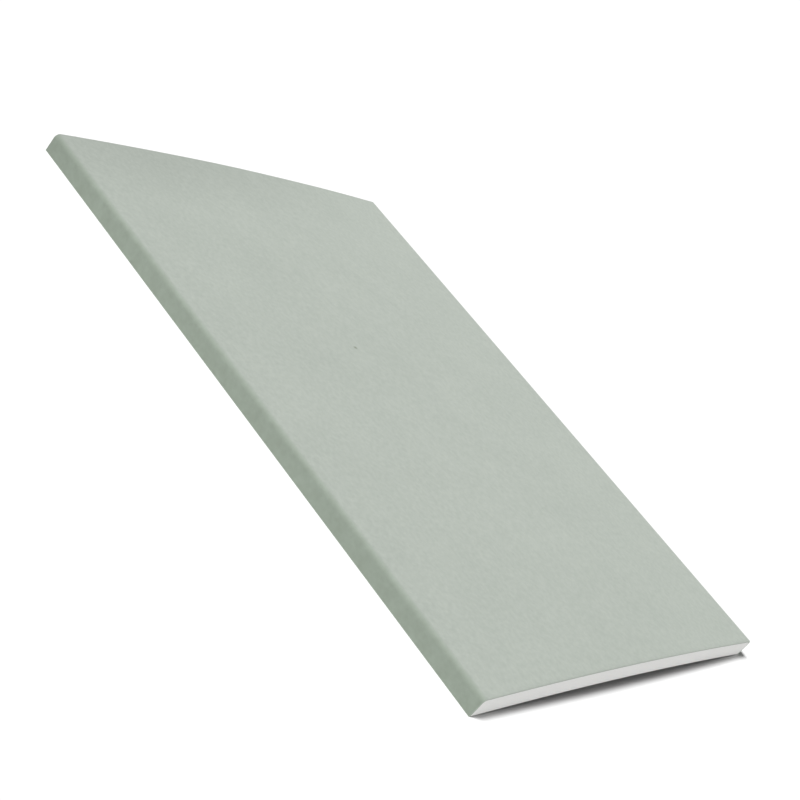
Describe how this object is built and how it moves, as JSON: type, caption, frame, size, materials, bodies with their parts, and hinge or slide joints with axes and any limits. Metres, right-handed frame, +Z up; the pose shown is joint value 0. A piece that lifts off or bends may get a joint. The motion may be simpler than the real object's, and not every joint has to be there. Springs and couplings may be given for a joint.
{
  "type": "soffit board",
  "caption": "Short sawn length of flat cellular PVC soffit board: white foam core with a sage-green skin over the face and both long edges, slightly cupped across its width.",
  "frame": {"origin": "on the floor under the middle of the board, at the centre of the underside of its box", "axes": "+X along the length, towards the sawn end that shows in the picture; +Y across the width, away from the long edge that shows; +Z up, out of the coloured face"},
  "size_m": [0.3, 0.225, 0.0115],
  "materials": {
    "foam_core": "white cellular PVC, fine closed cells, sawn at the ends",
    "colour_skin": "matt sage-green PVC skin with a very fine grain"
  },
  "bodies": {
    "root": {"foam_core": "foam_core", "colour_skin": "colour_skin"}
  },
  "joints": []
}
